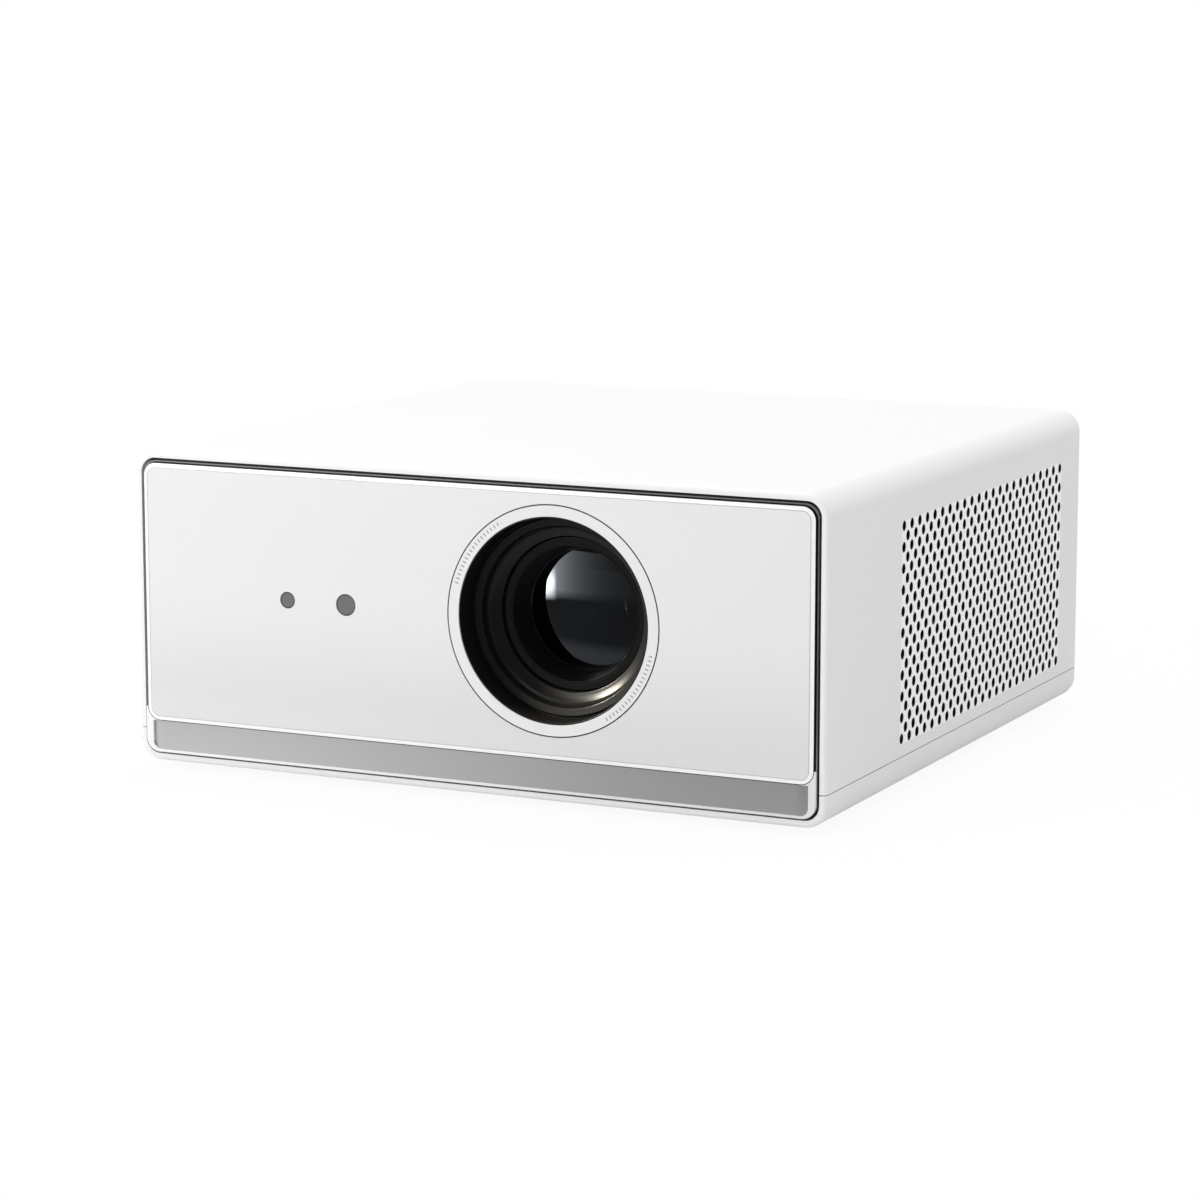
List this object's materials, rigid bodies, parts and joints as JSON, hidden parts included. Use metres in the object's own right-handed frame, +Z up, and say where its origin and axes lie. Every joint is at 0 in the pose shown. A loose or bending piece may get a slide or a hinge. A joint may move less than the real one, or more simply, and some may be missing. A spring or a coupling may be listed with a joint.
{
  "type": "projector",
  "caption": "Small home-theatre projector with a glossy glass front, recessed lens, satin trim strip, perforated side and sockets at the rear.",
  "frame": {"origin": "on the floor, under the middle of the projector's box", "axes": "+X to the projector's left as its lens looks out (the picture's right), -Y the way the lens looks, +Z up"},
  "size_m": [0.285, 0.28, 0.123],
  "materials": {
    "white_shell": "fine satin moulded white",
    "rear_plate": "fine satin moulded light grey",
    "white_glass": "high gloss white with ground bevel",
    "ring_white": "gloss white",
    "dark_bezel": "dark polished edge",
    "polished_trim": "polished",
    "satin_strip": "fine satin",
    "sensor_glass": "smoked, semi-gloss",
    "black_plastic": "fine matt black",
    "hood_black": "satin black moulding",
    "lens_glass": "coated optical glass",
    "mount_metal": "black anodised casting",
    "gear_plastic": "natural acetal",
    "motor_steel": "plated steel",
    "clear_sheet": "clear sheet",
    "panel_glass": "dark glass panel",
    "reflector": "mirror finish",
    "copper": "bare copper",
    "fins": "bare aluminium",
    "circuit_green": "solder-masked board",
    "speaker_cone": "treated paper cone on a steel frame",
    "button_white": "satin white",
    "foot_rubber": "matt rubber",
    "brass_insert": "bare brass",
    "stem_steel": "zinc-plated thread"
  },
  "bodies": {
    "case": {"top_cover": "white_shell", "bottom_tray": "white_shell", "rear_panel": "rear_plate", "socket_plate": "rear_plate", "outlet_grille": "rear_plate", "side_grille": "white_shell", "inlet_grille": "white_shell", "front_carrier": "black_plastic", "front_bezel": "dark_bezel", "front_glass": "white_glass", "strip_frame": "polished_trim", "trim_strip": "satin_strip", "near_window": "sensor_glass", "far_window": "sensor_glass", "sensor_board": "circuit_green", "lens_trim_ring": "ring_white", "lens_hood": "hood_black", "lens_mount": "mount_metal", "focus_motor": "motor_steel", "engine_box": "black_plastic", "engine_lid": "black_plastic", "front_fresnel": "clear_sheet", "lcd_panel": "panel_glass", "rear_fresnel": "clear_sheet", "heat_glass": "clear_sheet", "light_funnel": "reflector", "light_source": "copper", "heat_pipes": "copper", "fin_stack": "fins", "exhaust_fan_frame": "black_plastic", "blower_housing": "black_plastic", "main_board": "circuit_green", "power_board": "circuit_green", "video_sockets": "motor_steel", "data_sockets": "motor_steel", "sound_socket": "black_plastic", "mains_inlet": "black_plastic", "button_switch": "black_plastic", "speaker_boxes": "black_plastic", "speaker_drivers": "speaker_cone", "radio_aerial": "circuit_green", "rubber_feet": "foot_rubber", "case_screws": "motor_steel", "tripod_nut": "brass_insert", "foot_bush": "brass_insert"},
    "focus_ring": {"focus_ring": "gear_plastic"},
    "barrel": {"lens_barrel": "hood_black", "lens_retainer": "hood_black", "front_lens": "lens_glass", "rear_lens": "lens_glass"},
    "pinion": {"motor_pinion": "gear_plastic"},
    "exhaust_rotor": {"exhaust_impeller": "black_plastic"},
    "blower_rotor": {"blower_wheel": "black_plastic"},
    "power_button": {"power_button": "button_white"},
    "foot_stem": {"foot_stem": "stem_steel"},
    "foot_knob": {"foot_knob": "black_plastic", "foot_pad": "foot_rubber"}
  },
  "joints": [
    {"name": "focus_turn", "type": "hinge", "parent": "case", "child": "focus_ring", "pos_m": [0.0353, -0.0955, 0.0702], "axis": [0, 1, 0], "range_deg": [-90, 180]},
    {"name": "focus_slide", "type": "slide", "parent": "case", "child": "barrel", "axis": [0, -1, 0], "range_m": [-0.002, 0.004]},
    {"name": "pinion_turn", "type": "hinge", "parent": "case", "child": "pinion", "pos_m": [0.00539, -0.0955, 0.04029], "axis": [0, 1, 0], "range_deg": [-660, 330]},
    {"name": "exhaust_spin", "type": "hinge", "parent": "case", "child": "exhaust_rotor", "pos_m": [0.128, 0.0208, 0.0622], "axis": [1, 0, 0], "continuous": true},
    {"name": "blower_spin", "type": "hinge", "parent": "case", "child": "blower_rotor", "pos_m": [-0.052, -0.028, 0.015], "axis": [0, 0, 1], "continuous": true},
    {"name": "power_press", "type": "slide", "parent": "case", "child": "power_button", "axis": [0, -1, 0], "range_m": [0, 0.0008], "stiffness_N_per_m": 1200, "springref_m": -0.0008},
    {"name": "foot_turn", "type": "hinge", "parent": "foot_stem", "child": "foot_knob", "pos_m": [0, -0.104, 0.004], "axis": [0, 0, 1], "range_deg": [0, 1080]},
    {"name": "foot_slide", "type": "slide", "parent": "case", "child": "foot_stem", "axis": [0, 0, -1], "range_m": [0, 0.012]}
  ],
  "couplings": [
    {"joint": "focus_turn", "follows": "focus_slide", "rad_per_m": 785.4},
    {"joint": "pinion_turn", "follows": "focus_slide", "rad_per_m": -2879.8},
    {"joint": "foot_turn", "follows": "foot_slide", "rad_per_m": 1570.8}
  ]
}
